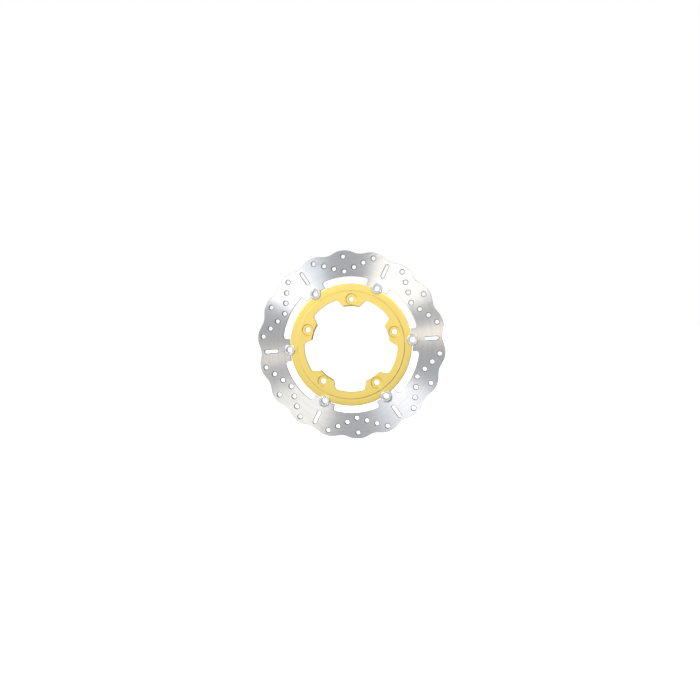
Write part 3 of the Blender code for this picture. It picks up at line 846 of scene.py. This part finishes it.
def surface_grain_group(name):
    """The even grain of a blasted, plated or phosphated skin."""
    w = Wiring.group(name, "ShaderNodeTree")
    position = w.takes("Position", "NodeSocketVector")
    size = w.takes("Size", "NodeSocketFloat", 0.0003)
    scale = w.calc("DIVIDE", 1.0, size)
    coarse = w.add("ShaderNodeTexNoise", {"Vector": position, "Scale": scale, "Detail": 4.0,
                                          "Roughness": 0.6})
    cells = w.add("ShaderNodeTexVoronoi", {"Vector": position, "Scale": scale})
    height = w.calc("MULTIPLY_ADD", cells.outputs["Distance"], 0.35, coarse.outputs[0])
    w.gives("Height", "NodeSocketFloat", height)
    w.gives("Mask", "NodeSocketFloat", w.ranged(coarse.outputs[0], 0.35, 0.65, 0.0, 1.0))
    return w.tree


def handling_group(name):
    """Soft patches of handling and dust, and a few fine scratches."""
    w = Wiring.group(name, "ShaderNodeTree")
    position = w.takes("Position", "NodeSocketVector")
    size = w.takes("Size", "NodeSocketFloat", 0.02)
    amount = w.takes("Amount", "NodeSocketFloat", 0.5)
    patches = w.add("ShaderNodeTexNoise", {"Vector": position,
                                           "Scale": w.calc("DIVIDE", 1.0, size),
                                           "Detail": 5.0, "Roughness": 0.55,
                                           "Distortion": 0.4})
    soft = w.ranged(patches.outputs[0], 0.42, 0.72, 0.0, 1.0)
    turned_round = w.add("ShaderNodeVectorRotate",
                         {"Vector": position, "Axis": (0.3, 1.0, 0.2), "Angle": 0.7})
    stretched = w.reckon("MULTIPLY", turned_round.outputs[0], (900.0, 900.0, 35.0))
    streaks = w.add("ShaderNodeTexNoise", {"Vector": stretched, "Scale": 1.0, "Detail": 1.0})
    scratch = w.ranged(streaks.outputs[0], 0.70, 0.76, 0.0, 1.0)
    w.gives("Patches", "NodeSocketFloat", w.calc("MULTIPLY", soft, amount))
    w.gives("Scratches", "NodeSocketFloat", w.calc("MULTIPLY", scratch, amount))
    return w.tree


def metal(name, tint, roughness, **look):
    """A metal with marks of its making, a grain, and signs of handling.

    look may give local, when the marks turn round the piece's own axis and not the axle,
    anisotropy, mark_pitch, mark_depth, mark_shade, grain_size, grain_depth, grain_shade,
    handling, patch_size, stain, bump, and sheen_in, how much the roughness follows the marks.
    """
    material = bpy.data.materials.new(name)
    material.use_nodes = True
    w = Wiring(material.node_tree)
    shader = w.tree.nodes["Principled BSDF"]
    if look.get("local"):
        place = w.add("ShaderNodeAttribute", attribute_name="lathe_position").outputs["Vector"]
        round_axis = place
    else:
        place = w.add("ShaderNodeTexCoord").outputs["Object"]
        x, y, z = w.parts(place)
        round_axis = w.vector(x, z, y)
    marks = w.nested(shared("tool_marks", tool_marks_group), "ShaderNodeGroup",
                     position=round_axis, pitch=look.get("mark_pitch", 0.0002))
    grain = w.nested(shared("surface_grain", surface_grain_group), "ShaderNodeGroup",
                     position=place, size=look.get("grain_size", 0.0003))
    handling = w.nested(shared("handling", handling_group), "ShaderNodeGroup",
                        position=place, size=look.get("patch_size", 0.02),
                        amount=look.get("handling", 0.4))

    shade = look.get("mark_shade", 0.08)
    lighter = w.ranged(marks["Shade"], 0.3, 0.7, 1.0 - shade, 1.0 + shade)
    grained = w.ranged(grain["Mask"], 0.0, 1.0, 1.0 - look.get("grain_shade", 0.03), 1.0)
    base = w.scaled(tuple(tint), w.calc("MULTIPLY", lighter, grained))
    stain = look.get("stain", tuple(value * 0.85 for value in tint))
    stained = w.add("ShaderNodeMix", {"Factor": handling["Patches"]}, data_type="RGBA")
    stained.inputs[6].default_value = (1.0, 1.0, 1.0, 1.0)
    w.tree.links.new(base, stained.inputs[6])
    stained.inputs[7].default_value = (*stain, 1.0)
    w.tree.links.new(stained.outputs[2], shader.inputs["Base Color"])

    spread = look.get("sheen_in", 0.05)
    worn = w.calc("MULTIPLY_ADD", handling["Patches"], 0.06, roughness)
    varied = w.calc("ADD", worn, w.ranged(marks["Shade"], 0.3, 0.7, -spread, spread))
    rough = w.calc("MULTIPLY_ADD", handling["Scratches"], -0.05, varied)
    w.tree.links.new(rough, shader.inputs["Roughness"])

    height = w.calc("MULTIPLY_ADD", marks["Height"], look.get("mark_depth", 0.5),
                    w.calc("MULTIPLY", grain["Height"], look.get("grain_depth", 0.3)))
    scratched = w.calc("MULTIPLY_ADD", handling["Scratches"], -0.4, height)
    bump = w.add("ShaderNodeBump", {"Height": scratched, "Distance": BUMP_RELIEF,
                                    "Strength": look.get("bump", 0.5)})
    w.tree.links.new(bump.outputs[0], shader.inputs["Normal"])

    shader.inputs["Metallic"].default_value = 1.0
    anisotropy = look.get("anisotropy", 0.0)
    shader.inputs["Anisotropic"].default_value = anisotropy
    if anisotropy:
        across_x, across_y, _ = w.parts(round_axis)
        radial = w.vector(across_x, 0.0, across_y)
        outward = w.add("ShaderNodeVectorTransform",
                        {0: w.reckon("NORMALIZE", radial)}, vector_type="VECTOR",
                        convert_from="OBJECT", convert_to="WORLD")
        w.tree.links.new(outward.outputs[0], shader.inputs["Tangent"])
    return material


# ---------------------------------------------------------------- operators

def through_profile(half_width, chamfer):
    """The profile of a tool that cuts through the ring and chamfers both ends of the cut."""
    over = DRILL_CLEARANCE
    return [
        (half_width + chamfer + over, RING_FRONT + over),
        (half_width, RING_FRONT - chamfer),
        (half_width, RING_BACK + chamfer),
        (half_width + chamfer + over, RING_BACK - over),
    ]


class DISC_OT_brake_ring(bpy.types.Operator):
    """Builds the wavy, drilled and slotted steel ring"""

    bl_idname = "brake_disc.brake_ring"
    bl_label = "Brake Ring"

    def execute(self, context):
        disc = context.scene.brake_disc
        ring, bobbin, finish = disc.ring, disc.bobbin, disc.finish
        thickness = RING_FRONT - RING_BACK
        track_inner = ring.radius - ring.track_width
        notch_radius = bobbin.shank + bobbin.notch_play
        inner = outline_mesh("ring_inner_outline",
                             openings=[ring_inner_outline(ring, notch_radius)])
        blank = grown("brake_ring_blank", inner, shared("wavy_ring_blank", wavy_blank_tree),
                      radius=ring.radius, waves=ring.waves, points_per_wave=26,
                      depth=ring.wave_depth, sharpness=ring.wave_sharpness,
                      first_crest=ring.crest_angle, front=RING_FRONT, thickness=thickness,
                      chamfer=ring.edge_break)
        point_outward(blank)

        drill_profile = through_profile(ring.hole_diameter / 2, ring.hole_chamfer)
        drill = helper(lathe("drill", drill_profile, 32, closed=False))
        half = ring.slot_width / 2
        inner_end = track_inner + ring.slot_inner_margin + half
        outer_end = ring.radius - ring.slot_outer_margin - half
        slot_loops = []
        for radius, height in through_profile(half, ring.slot_chamfer):
            outline = stadium(inner_end, outer_end, radius, 16)
            slot_loops.append([(x, y, height) for x, y in outline])
        slot_tool = helper(loft("slot_tool", slot_loops))

        ground = metal("ground_steel", finish.steel, finish.grind_gloss, anisotropy=1.0,
                       mark_pitch=0.00022, mark_shade=0.10, mark_depth=0.8, grain_depth=0.1,
                       sheen_in=0.04, handling=0.22, patch_size=0.05, bump=0.2)
        cut = metal("cut_steel", finish.cut_steel, 0.22, mark_pitch=0.0004, mark_shade=0.06,
                    grain_depth=0.4, grain_size=0.0002, handling=0.2)
        mesh = grown("drilled_ring", blank, shared("drilled_ring", drilled_ring_tree),
                     drill=drill, slot_tool=slot_tool, sectors=len(BOBBINS),
                     first_angle=FIRST_BOBBIN_ANGLE, holes_per_arm=ring.holes_per_arm,
                     arm_angle=ring.arm_angle, arm_spread=ring.arm_spread,
                     arm_rise=ring.arm_rise, nearest_hole=track_inner + ring.inner_margin,
                     farthest_hole=ring.radius - ring.outer_margin,
                     edge_hole=ring.radius - ring.edge_margin, ground_finish=ground,
                     cut_finish=cut)
        piece("ground_brake_ring", mesh, "ring", ["brake_ring"])
        return {"FINISHED"}


class DISC_OT_carrier(bpy.types.Operator):
    """Builds the gold aluminium carrier with its bolt tabs"""

    bl_idname = "brake_disc.carrier"
    bl_label = "Carrier"

    def execute(self, context):
        disc = context.scene.brake_disc
        carrier, bobbin, finish = disc.carrier, disc.bobbin, disc.finish
        notch_radius = bobbin.shank + bobbin.notch_play
        outline = outline_mesh("carrier_outline", [carrier_outer_outline(carrier, notch_radius)],
                               [carrier_inner_outline(carrier)])
        blank = grown("carrier_blank", outline,
                      shared("plate_blank", plate_blank_tree), front=CARRIER_FRONT,
                      thickness=CARRIER_FRONT - CARRIER_BACK, chamfer=carrier.edge_break)
        point_outward(blank)

        over = TOOL_CLEARANCE
        step_foot = carrier.step_radius + carrier.step_slope
        slope = carrier.step_slope / (CARRIER_FRONT - RING_FRONT)
        rim_profile = [
            (carrier.radius + over, CARRIER_FRONT + over),
            (carrier.step_radius - slope * over, CARRIER_FRONT + over),
            (step_foot, RING_FRONT),
            (carrier.radius - carrier.rim_round, RING_FRONT),
        ]
        centre = (carrier.radius - carrier.rim_round, RING_FRONT - carrier.rim_round)
        rim_profile += arc(carrier.rim_round, math.pi / 2, 0.0, 6, centre)[1:]
        rim_profile.append((carrier.radius + over, centre[1]))
        rim_tool = helper(lathe("rim_tool", rim_profile, 360))

        front_edge = carrier.pilot_radius + carrier.pilot_chamfer
        pilot_profile = [
            (carrier.pilot_radius - over, CARRIER_FRONT + over),
            (front_edge + over, CARRIER_FRONT + over),
            (carrier.pilot_radius - over, CARRIER_FRONT - carrier.pilot_chamfer - over),
        ]
        pilot_tool = helper(lathe("pilot_tool", pilot_profile, 360))

        seat = CARRIER_FRONT - carrier.seat_depth
        seat_break, hole_break = carrier.seat_break, carrier.hole_break
        corner = 0.2 * MM
        bolt_profile = [
            (carrier.bolt_seat + seat_break + over, CARRIER_FRONT + over),
            (carrier.bolt_seat, CARRIER_FRONT - seat_break),
            (carrier.bolt_seat, seat + corner),
            (carrier.bolt_seat - corner, seat),
            (carrier.bolt_hole + hole_break, seat),
            (carrier.bolt_hole, seat - hole_break),
            (carrier.bolt_hole, CARRIER_BACK + hole_break),
            (carrier.bolt_hole + hole_break + over, CARRIER_BACK - over),
        ]
        bolt_tool = helper(lathe("bolt_tool", bolt_profile, 48, closed=False))

        gold = metal("gold_anodised", finish.gold, 0.36, mark_pitch=0.00035, mark_shade=0.035,
                     mark_depth=0.45, grain_size=0.00025, grain_depth=0.5, grain_shade=0.03,
                     handling=0.18, patch_size=0.03, sheen_in=0.035, bump=0.4)
        mesh = grown("machined_carrier", blank, shared("machined_carrier",
                                                       machined_carrier_tree),
                     rim_tool=rim_tool, pilot_tool=pilot_tool, bolt_tool=bolt_tool,
                     bolts=carrier.tabs, bolt_circle=carrier.bolt_circle,
                     first_angle=carrier.first_tab, finish=gold)
        piece("gold_carrier", mesh, "carrier", ["carrier"])
        return {"FINISHED"}


def one_each(name, shape, finish, cad_name):
    """A like piece on each bobbin's axis, one mesh for each body."""
    tree = shared("set_on_circle", set_on_circle_tree)
    for number, body in enumerate(BOBBINS):
        mesh = grown(f"{name}_{number + 1}", shape, tree, pieces=len(BOBBINS),
                     circle_radius=BOBBIN_CIRCLE, first_angle=FIRST_BOBBIN_ANGLE,
                     number=number, finish=finish)
        piece(f"{name}_{number + 1}", mesh, body, [f"{cad_name}_{number + 1}"])


class DISC_OT_bobbins(bpy.types.Operator):
    """Builds the hollow bobbins that join the ring to the carrier"""

    bl_idname = "brake_disc.bobbins"
    bl_label = "Bobbins"

    def execute(self, context):
        disc = context.scene.brake_disc
        bobbin, finish = disc.bobbin, disc.finish
        groove = bobbin.shank - bobbin.groove_depth
        flange_back = BOBBIN_FRONT - bobbin.flange_thickness
        groove_front = SNAP_FRONT + bobbin.groove_play
        groove_back = SNAP_BACK - bobbin.groove_play
        fine, edge, dip = FINE_EDGE, bobbin.edge_round, bobbin.flange_dip
        # the flange's front dips a little between a land at its rim and one at the bore
        rim_land = bobbin.flange - bobbin.rim_land
        bore_land = bobbin.bore + bobbin.countersink + bobbin.bore_land
        corners = [
            (bobbin.bore + bobbin.countersink, BOBBIN_FRONT, fine),
            (bore_land, BOBBIN_FRONT, fine),
            (bore_land + dip, BOBBIN_FRONT - dip, fine),
            (rim_land - dip, BOBBIN_FRONT - dip, fine),
            (rim_land, BOBBIN_FRONT, fine),
            (bobbin.flange, BOBBIN_FRONT, edge),
            (bobbin.flange, flange_back, 2 * fine),
            (bobbin.shank, flange_back, 2 * fine),
            (bobbin.shank, groove_front, fine),
            (groove, groove_front, fine),
            (groove, groove_back, fine),
            (bobbin.shank, groove_back, fine),
            (bobbin.shank, BOBBIN_BACK, edge),
            (bobbin.bore, BOBBIN_BACK, edge),
            (bobbin.bore, BOBBIN_FRONT - bobbin.countersink, fine),
        ]
        shape = keep_lathe_position(lathe("bobbin_shape", rounded(corners), 72))
        plated = metal("plated_steel", finish.plated, 0.26, local=True, anisotropy=0.45,
                       mark_pitch=0.00012, mark_shade=0.06, mark_depth=0.7,
                       grain_size=0.0002, handling=0.15, patch_size=0.006, bump=0.3)
        one_each("hollow_bobbin", shape, plated, "bobbin")
        return {"FINISHED"}


class DISC_OT_washers(bpy.types.Operator):
    """Builds the wave washers and the flat washers behind the disc"""

    bl_idname = "brake_disc.washers"
    bl_label = "Washers"

    def execute(self, context):
        disc = context.scene.brake_disc
        bobbin, finish = disc.bobbin, disc.finish
        inner = bobbin.shank + bobbin.washer_play
        strip = bobbin.wave_strip
        outer = half_width_of("wave_washer_1")
        edge = 0.1 * MM
        corners = [(inner, strip / 2, edge), (outer, strip / 2, edge),
                   (outer, -strip / 2, edge), (inner, -strip / 2, edge)]
        flat = keep_lathe_position(lathe("flat_strip", rounded(corners, 2), 96))
        bent = grown("wave_washer_shape", flat, shared("wave_washer", wave_washer_tree),
                     waves=bobbin.waves, swing=(WAVE_FRONT - WAVE_BACK - strip) / 2,
                     middle=(WAVE_FRONT + WAVE_BACK) / 2)
        spring = metal("spring_steel", finish.spring, 0.33, local=True, anisotropy=0.3,
                       mark_pitch=0.00015, grain_size=0.0002, handling=0.3, patch_size=0.005,
                       stain=(0.25, 0.21, 0.18))
        one_each("spring_washer", bent, spring, "wave_washer")

        outer = half_width_of("flat_washer_1")
        # a stamped washer is rounder where the punch went in
        punched, bore_edge = 0.3 * MM, 0.12 * MM
        corners = [(inner, WASHER_FRONT, bore_edge), (outer, WASHER_FRONT, punched),
                   (outer, WASHER_BACK, FINE_EDGE), (inner, WASHER_BACK, bore_edge)]
        shape = keep_lathe_position(lathe("flat_washer_shape", rounded(corners), 72))
        zinc = metal("zinc_plate", finish.zinc, 0.34, local=True, mark_pitch=0.0003,
                     mark_shade=0.04, grain_size=0.00015, grain_depth=0.7, grain_shade=0.08,
                     handling=0.35, patch_size=0.004, stain=(0.50, 0.53, 0.58))
        one_each("backing_washer", shape, zinc, "flat_washer")
        return {"FINISHED"}


class DISC_OT_retaining_rings(bpy.types.Operator):
    """Builds the open retaining rings in the bobbins' grooves"""

    bl_idname = "brake_disc.retaining_rings"
    bl_label = "Retaining Rings"

    def execute(self, context):
        disc = context.scene.brake_disc
        bobbin, finish = disc.bobbin, disc.finish
        inner = bobbin.shank - bobbin.groove_depth + bobbin.groove_play
        outer = inner + bobbin.snap_width
        middle = (inner + outer) / 2
        tip = (outer - inner) / 2
        lean = bobbin.snap_opening / 2 + tip / middle
        start = math.pi / 2 + lean
        end = math.pi * 2.5 - lean
        start_centre = (middle * math.cos(start), middle * math.sin(start))
        end_centre = (middle * math.cos(end), middle * math.sin(end))
        outline = arc(outer, start, end, 56)
        outline += arc(tip, end, end + math.pi, 10, end_centre)[1:-1]
        outline += arc(inner, end, start, 48)
        outline += arc(tip, start + math.pi, start + math.tau, 10, start_centre)[1:-1]
        blank = grown("retaining_ring_shape", outline_mesh("retaining_ring_outline", [outline]),
                      shared("plate_blank", plate_blank_tree), front=SNAP_FRONT,
                      thickness=SNAP_FRONT - SNAP_BACK, chamfer=bobbin.snap_chamfer)
        shape = keep_lathe_position(point_outward(blank))
        black = metal("black_phosphate", finish.black, 0.42, local=True, mark_shade=0.03,
                      grain_size=0.00012, grain_depth=0.9, grain_shade=0.2, handling=0.4,
                      patch_size=0.003, stain=(0.16, 0.15, 0.14))
        one_each("snap_ring", shape, black, "retaining_ring")
        return {"FINISHED"}


def view_direction(azimuth, elevation):
    """From the disc to the camera."""
    level = math.cos(elevation)
    return Vector((math.sin(azimuth) * level, -math.cos(azimuth) * level, math.sin(elevation)))


def lamp(name, disc_centre, towards, distance, size, power, tint):
    """A soft lamp that hangs in a direction from the disc and faces it."""
    light = bpy.data.lights.new(name, "AREA")
    light.shape = "RECTANGLE"
    light.size, light.size_y = size
    light.energy = power
    light.color = tint
    obj = bpy.data.objects.new(name, light)
    bpy.context.scene.collection.objects.link(obj)
    obj.location = disc_centre + towards * distance
    # the lamp's long side lies in the plane of the axle and the lamp
    facing = towards.normalized()
    side = facing.cross(AXLE).normalized()
    long_side = facing.cross(side)
    rotation = obj.matrix_world.to_3x3()
    rotation.col[0], rotation.col[1], rotation.col[2] = side, long_side, facing
    obj.rotation_euler = rotation.to_euler()
    return obj


# name, angle round the axle, lean, width and length in metres, watts, tint
FAN_LAMPS = (
    ("cream_fan_lamp", 52.5, 25.0, (1.34, 0.84), 35.0, (1.0, 0.97, 0.86)),
    ("white_fan_lamp", 135.5, 25.0, (0.84, 0.84), 29.0, (1.0, 1.0, 1.0)),
    ("blue_fan_lamp", 114.0, 26.0, (0.24, 0.80), 4.6, (0.82, 0.90, 1.0)),
    ("beige_fan_lamp", 9.5, 23.0, (0.16, 0.72), 6.5, (1.0, 0.87, 0.70)),
)


def fan_lamp(name, view, fan_angle, lean, **settings):
    """A lamp that lights a fan across the ground ring at an angle round the axle.

    Marks that run round the axle throw light into the plane of the axle and a radius, so the
    lamp hangs where a mirror that leans back by half as much would show it to the camera.
    """
    way = Vector((math.cos(fan_angle), 0.0, math.sin(fan_angle)))
    mirror = -AXLE * math.cos(lean) + way * math.sin(lean)
    towards = 2 * mirror.dot(view) * mirror - view
    return lamp(name, Vector(), towards, **settings)


# strengths of the world's light; the pairs hold its left and its right
SIDE_LIGHT = (0.54, 0.14)
FRONT_LIGHT = (1.38, 0.70)
FAR_LEFT_LIFT = 0.6
REAR_LIFT = 0.30
LIGHT_FROM_BELOW = 0.95     # as a share of the light from above
FLOOR_GLOW = 0.8


def set_world():
    """White to the camera, and for the disc a soft light that fades from left to right.

    It is strongest straight in front, rises again at the far left so that the chamfers there
    catch it, and is lifted behind the disc for its rear face.
    """
    world = bpy.data.worlds.new("studio_world")
    world.use_nodes = True
    bpy.context.scene.world = world
    w = Wiring(world.node_tree)
    w.tree.nodes.clear()
    direction = w.add("ShaderNodeTexCoord").outputs["Generated"]
    x, y, z = w.parts(direction)
    side = w.ranged(x, -0.5, 0.4, *SIDE_LIGHT)
    far_left = w.ranged(x, -0.75, -0.95, 0.0, FAR_LEFT_LIFT)
    above = w.ranged(z, -0.6, 0.6, LIGHT_FROM_BELOW, 1.0)
    behind = w.ranged(y, 0.1, 0.9, 0.0, REAR_LIFT)
    around = w.calc("MULTIPLY_ADD", side, above, w.calc("ADD", behind, far_left))
    front_level = w.ranged(x, -0.2, 0.2, *FRONT_LIGHT)
    in_front = w.ranged(y, -0.88, -0.985, 0.0, 1.0)
    rise = w.calc("SUBTRACT", front_level, around)
    level = w.calc("MULTIPLY_ADD", rise, in_front, around)
    soft = w.add("ShaderNodeBackground", {"Color": (0.97, 0.985, 1.0, 1.0), "Strength": level})
    white = w.add("ShaderNodeBackground", {"Color": (1.0, 1.0, 1.0, 1.0), "Strength": 1.0})
    seen = w.add("ShaderNodeLightPath").outputs["Is Camera Ray"]
    mix = w.add("ShaderNodeMixShader", {0: seen, 1: soft.outputs[0], 2: white.outputs[0]})
    w.add("ShaderNodeOutputWorld", {"Surface": mix.outputs[0]})


def floor_material():
    """A pale matt floor with a faint mottle."""
    material = bpy.data.materials.new("studio_floor")
    material.use_nodes = True
    w = Wiring(material.node_tree)
    shader = w.tree.nodes["Principled BSDF"]
    place = w.add("ShaderNodeTexCoord").outputs["Object"]
    mottle = w.add("ShaderNodeTexNoise", {"Vector": place, "Scale": 6.0, "Detail": 3.0})
    level = w.ranged(mottle.outputs[0], 0.3, 0.7, 0.93, 0.95)
    pale = w.vector(level, level, level)
    w.tree.links.new(pale, shader.inputs["Base Color"])
    shader.inputs["Roughness"].default_value = 0.8
    shader.inputs["Specular IOR Level"].default_value = 0.1
    shader.inputs["Emission Color"].default_value = (1.0, 1.0, 1.0, 1.0)
    shader.inputs["Emission Strength"].default_value = FLOOR_GLOW
    return material


class DISC_OT_studio(bpy.types.Operator):
    """Sets up the camera, the floor, the world and the lamps"""

    bl_idname = "brake_disc.studio"
    bl_label = "Studio"

    def execute(self, context):
        studio = context.scene.brake_disc.studio
        view = view_direction(studio.azimuth, studio.elevation)
        camera_data = bpy.data.cameras.new("studio_camera")
        camera_data.sensor_width = 36.0
        camera_data.lens = camera_data.sensor_width * studio.distance / studio.view_width
        camera = bpy.data.objects.new("studio_camera", camera_data)
        context.scene.collection.objects.link(camera)
        facing = (-view).to_track_quat("-Z", "Y")
        right = facing @ Vector((1.0, 0.0, 0.0))
        up = facing @ Vector((0.0, 1.0, 0.0))
        aim = right * studio.aim_right + up * studio.aim_up
        camera.rotation_euler = facing.to_euler()
        camera.location = aim + view * studio.distance
        context.scene.camera = camera
        context.scene.view_settings.view_transform = "Standard"

        half = studio.floor_size / 2
        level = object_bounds()[0][2]
        corners = [(-half, -half, level), (half, -half, level),
                   (half, half, level), (-half, half, level)]
        mesh = bpy.data.meshes.new("studio_floor")
        mesh.from_pydata(corners, [], [(0, 1, 2, 3)])
        mesh.materials.append(floor_material())
        floor = bpy.data.objects.new("studio_floor", mesh)
        context.scene.collection.objects.link(floor)
        # the metals mirror the soft world below them too, and not the bright floor
        floor.visible_glossy = False
        floor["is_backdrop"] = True

        set_world()
        distance = studio.lamp_distance
        for name, fan_angle, lean, size, power, tint in FAN_LAMPS:
            fan_lamp(name, view, math.radians(fan_angle), math.radians(lean),
                     distance=distance, size=size, power=power, tint=tint)
        return {"FINISHED"}


class DISC_PT_panel(bpy.types.Panel):
    """The operators and settings of the brake disc"""

    bl_idname = "DISC_PT_panel"
    bl_label = "Brake Disc"
    bl_space_type = "VIEW_3D"
    bl_region_type = "UI"
    bl_category = "Brake Disc"

    def draw(self, context):
        for operator in OPERATORS:
            self.layout.operator(operator.bl_idname)
        disc = context.scene.brake_disc
        for group in (disc.ring, disc.carrier, disc.bobbin, disc.finish, disc.studio):
            box = self.layout.box()
            for name in type(group).__annotations__:
                box.prop(group, name)


SETTINGS = (BrakeRingSettings, CarrierSettings, BobbinSettings, FinishSettings, StudioSettings,
            DiscSettings)
OPERATORS = (DISC_OT_brake_ring, DISC_OT_carrier, DISC_OT_bobbins, DISC_OT_washers,
             DISC_OT_retaining_rings, DISC_OT_studio)


def register():
    for cls in SETTINGS + OPERATORS + (DISC_PT_panel,):
        bpy.utils.register_class(cls)
    bpy.types.Scene.brake_disc = PointerProperty(type=DiscSettings)


def unregister():
    del bpy.types.Scene.brake_disc
    for cls in reversed(SETTINGS + OPERATORS + (DISC_PT_panel,)):
        bpy.utils.unregister_class(cls)


def main():
    register()
    bpy.ops.brake_disc.studio()
    bpy.ops.brake_disc.brake_ring()
    bpy.ops.brake_disc.carrier()
    bpy.ops.brake_disc.bobbins()
    bpy.ops.brake_disc.washers()
    bpy.ops.brake_disc.retaining_rings()


if __name__ == "__main__":
    main()
